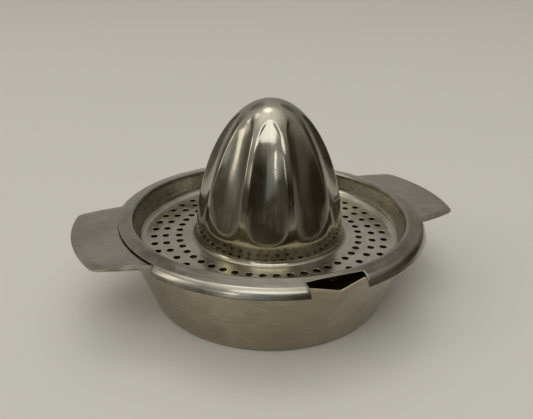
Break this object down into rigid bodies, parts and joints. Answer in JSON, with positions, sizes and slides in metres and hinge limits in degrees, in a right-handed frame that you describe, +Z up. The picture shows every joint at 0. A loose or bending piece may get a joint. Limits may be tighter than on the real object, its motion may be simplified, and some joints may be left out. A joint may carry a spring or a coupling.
{
  "type": "hand citrus juicer",
  "caption": "Pressed steel hand citrus juicer: a bowl with tab handles and a pour beak, under a lift-off perforated strainer dish with a fluted reamer cone.",
  "frame": {"origin": "centre of the bowl's flat underside, on the surface it stands on", "axes": "+Z up along the reamer's axis, +X towards one tab handle, -Y towards the pour beak"},
  "size_m": [0.1792, 0.144, 0.0926],
  "materials": {
    "bowl_steel": "satin",
    "strainer_steel": "satin"
  },
  "bodies": {
    "bowl": {"juice_bowl": "bowl_steel"},
    "strainer": {"strainer": "strainer_steel"}
  },
  "joints": [
    {"name": "strainer_lift", "type": "slide", "parent": "bowl", "child": "strainer", "axis": [0, 0, 1], "range_m": [0, 0.06]}
  ]
}
